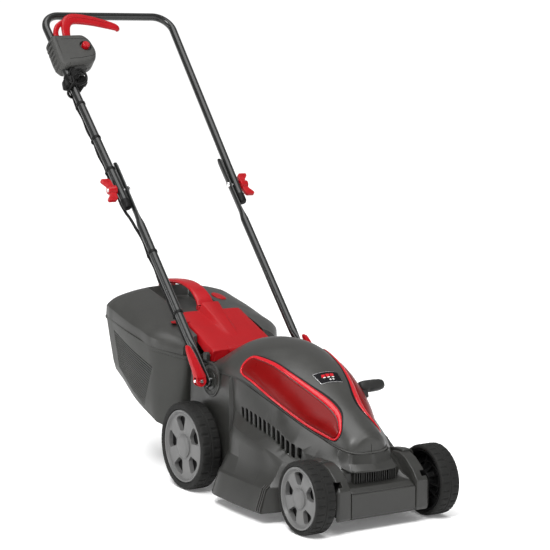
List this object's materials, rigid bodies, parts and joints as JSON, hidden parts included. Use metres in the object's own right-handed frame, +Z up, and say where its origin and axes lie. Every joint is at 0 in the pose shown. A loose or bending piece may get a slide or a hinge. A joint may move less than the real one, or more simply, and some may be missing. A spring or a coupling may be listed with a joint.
{
  "type": "rotary lawn mower",
  "caption": "Corded walk-behind rotary mower with side-cranked wheels, ribbed deck, domed motor hood, rear grass catcher and a folding tubular handle with a switch box.",
  "frame": {"origin": "on the ground, under the middle of the whole object's box", "axes": "+Z up, -Y towards the front of the mower, +X to the left of a person pushing it"},
  "size_m": [0.374, 1.1772, 0.9937],
  "materials": {
    "deck_plastic": "satin dark grey",
    "hood_plastic": "satin dark grey",
    "red_plastic": "semi-gloss red",
    "insert_red": "high-gloss deep red",
    "badge": "gloss black",
    "black_plastic": "satin black",
    "steel": "zinc-plated",
    "lamination": "varnished laminations",
    "copper": "bright",
    "blade_steel": "satin steel grey",
    "tyre": "matt black",
    "hub_plastic": "satin mid grey",
    "tube_paint": "satin dark grey powder coat",
    "box_plastic": "matt grey",
    "cable": "matt black"
  },
  "bodies": {
    "chassis": {"deck": "deck_plastic", "discharge_ramp": "deck_plastic", "hood": "hood_plastic", "insert_right": "insert_red", "insert_left": "insert_red", "badge_plate": "badge", "motor_base": "black_plastic", "motor_housing": "steel", "stator": "lamination", "bearing_upper": "steel", "bearing_lower": "steel", "brush_holder_right": "copper", "brush_holder_left": "copper", "axle_clamp_front": "black_plastic", "axle_clamp_rear": "black_plastic", "flap_hinge_pin": "steel", "pivot_bolt_right": "steel", "pivot_bolt_left": "steel", "deck_cable": "cable"},
    "rotor": {"motor_shaft": "steel", "armature": "lamination", "commutator": "copper", "cooling_fan": "black_plastic", "blade_holder": "black_plastic", "blade": "blade_steel", "blade_bolt": "steel"},
    "rear_axle": {"rear_axle": "steel"},
    "front_axle": {"front_axle": "steel"},
    "link": {"link_rod": "steel"},
    "height_lever": {"height_lever": "black_plastic", "height_grip": "black_plastic"},
    "front_right_wheel": {"tyre_front_right": "tyre", "hub_front_right": "hub_plastic"},
    "front_left_wheel": {"tyre_front_left": "tyre", "hub_front_left": "hub_plastic"},
    "rear_right_wheel": {"tyre_rear_right": "tyre", "hub_rear_right": "hub_plastic"},
    "rear_left_wheel": {"tyre_rear_left": "tyre", "hub_rear_left": "hub_plastic"},
    "lower_handle": {"lower_tube_right": "tube_paint", "lower_tube_left": "tube_paint", "lower_cable": "cable"},
    "upper_handle": {"upper_handle_tube": "tube_paint", "knob_bolt_right": "steel", "knob_bolt_left": "steel", "switch_box_front": "box_plastic", "switch_box_back": "box_plastic", "microswitch": "black_plastic", "mains_inlet": "black_plastic", "upper_cable": "cable"},
    "cam_lever_right": {"cam_lever_right": "red_plastic"},
    "cam_lever_left": {"cam_lever_left": "red_plastic"},
    "wing_knob_right": {"wing_knob_right": "red_plastic"},
    "wing_knob_left": {"wing_knob_left": "red_plastic"},
    "switch_lever": {"switch_lever": "red_plastic"},
    "lock_button": {"lock_button": "red_plastic"},
    "rear_flap": {"rear_flap": "red_plastic"},
    "catcher": {"catcher_lower": "deck_plastic", "catcher_upper": "hood_plastic", "catcher_handle": "red_plastic"}
  },
  "joints": [
    {"name": "rotor_spin", "type": "hinge", "parent": "chassis", "child": "rotor", "pos_m": [0, -0.3236, 0.1], "axis": [0, 0, 1], "continuous": true},
    {"name": "rear_axle_turn", "type": "hinge", "parent": "chassis", "child": "rear_axle", "pos_m": [0, -0.12124, 0.0708], "axis": [-1, 0, 0], "range_deg": [0, 60]},
    {"name": "front_axle_turn", "type": "hinge", "parent": "chassis", "child": "front_axle", "pos_m": [0, -0.55324, 0.05], "axis": [-1, 0, 0], "range_deg": [0, 60]},
    {"name": "link_turn", "type": "hinge", "parent": "rear_axle", "child": "link", "pos_m": [0, -0.12576, 0.09641], "axis": [1, 0, 0], "range_deg": [0, 60]},
    {"name": "height_lever_swing", "type": "hinge", "parent": "chassis", "child": "height_lever", "pos_m": [0.112, -0.3736, 0.125], "axis": [1, 0, 0], "range_deg": [0, 31]},
    {"name": "front_right_wheel_spin", "type": "hinge", "parent": "front_axle", "child": "front_right_wheel", "pos_m": [-0.1431, -0.5186, 0.07], "axis": [1, 0, 0], "continuous": true},
    {"name": "front_left_wheel_spin", "type": "hinge", "parent": "front_axle", "child": "front_left_wheel", "pos_m": [0.1431, -0.5186, 0.07], "axis": [1, 0, 0], "continuous": true},
    {"name": "rear_right_wheel_spin", "type": "hinge", "parent": "rear_axle", "child": "rear_right_wheel", "pos_m": [-0.1495, -0.0866, 0.0908], "axis": [1, 0, 0], "continuous": true},
    {"name": "rear_left_wheel_spin", "type": "hinge", "parent": "rear_axle", "child": "rear_left_wheel", "pos_m": [0.1495, -0.0866, 0.0908], "axis": [1, 0, 0], "continuous": true},
    {"name": "lower_handle_fold", "type": "hinge", "parent": "chassis", "child": "lower_handle", "pos_m": [0, -0.1135, 0.2291], "axis": [-1, 0, 0], "range_deg": [-105, 0]},
    {"name": "upper_handle_fold", "type": "hinge", "parent": "lower_handle", "child": "upper_handle", "pos_m": [0, 0.22774, 0.59864], "axis": [1, 0, 0], "range_deg": [0, 150]},
    {"name": "cam_right_open", "type": "hinge", "parent": "chassis", "child": "cam_lever_right", "pos_m": [-0.1425, -0.1135, 0.2291], "axis": [0, -1, 0], "range_deg": [0, 100]},
    {"name": "wing_knob_right_spin", "type": "hinge", "parent": "upper_handle", "child": "wing_knob_right", "pos_m": [-0.165, 0.22774, 0.59864], "axis": [1, 0, 0], "continuous": true},
    {"name": "cam_left_open", "type": "hinge", "parent": "chassis", "child": "cam_lever_left", "pos_m": [0.1425, -0.1135, 0.2291], "axis": [0, 1, 0], "range_deg": [0, 100]},
    {"name": "wing_knob_left_spin", "type": "hinge", "parent": "upper_handle", "child": "wing_knob_left", "pos_m": [0.165, 0.22774, 0.59864], "axis": [1, 0, 0], "continuous": true},
    {"name": "switch_lever_pull", "type": "hinge", "parent": "upper_handle", "child": "switch_lever", "pos_m": [-0.12, 0.50256, 0.91247], "axis": [-1, 0, 0], "range_deg": [0, 8], "stiffness_Nm_per_rad": 0.6, "springref_deg": -20.05},
    {"name": "lock_button_press", "type": "slide", "parent": "upper_handle", "child": "lock_button", "axis": [0, 0.7347, -0.6784], "range_m": [0, 0.004], "stiffness_N_per_m": 400, "springref_m": -0.004},
    {"name": "rear_flap_lift", "type": "hinge", "parent": "chassis", "child": "rear_flap", "pos_m": [0, -0.0446, 0.266], "axis": [1, 0, 0], "range_deg": [0, 75], "stiffness_Nm_per_rad": 0.15, "springref_deg": -34.38},
    {"name": "catcher_pull", "type": "slide", "parent": "chassis", "child": "catcher", "axis": [0, 1, 0], "range_m": [0, 0.35]}
  ],
  "couplings": [
    {"joint": "front_axle_turn", "follows": "rear_axle_turn", "ratio": 1},
    {"joint": "link_turn", "follows": "rear_axle_turn", "ratio": 1},
    {"joint": "height_lever_swing", "follows": "rear_axle_turn", "ratio": 0.50833}
  ]
}
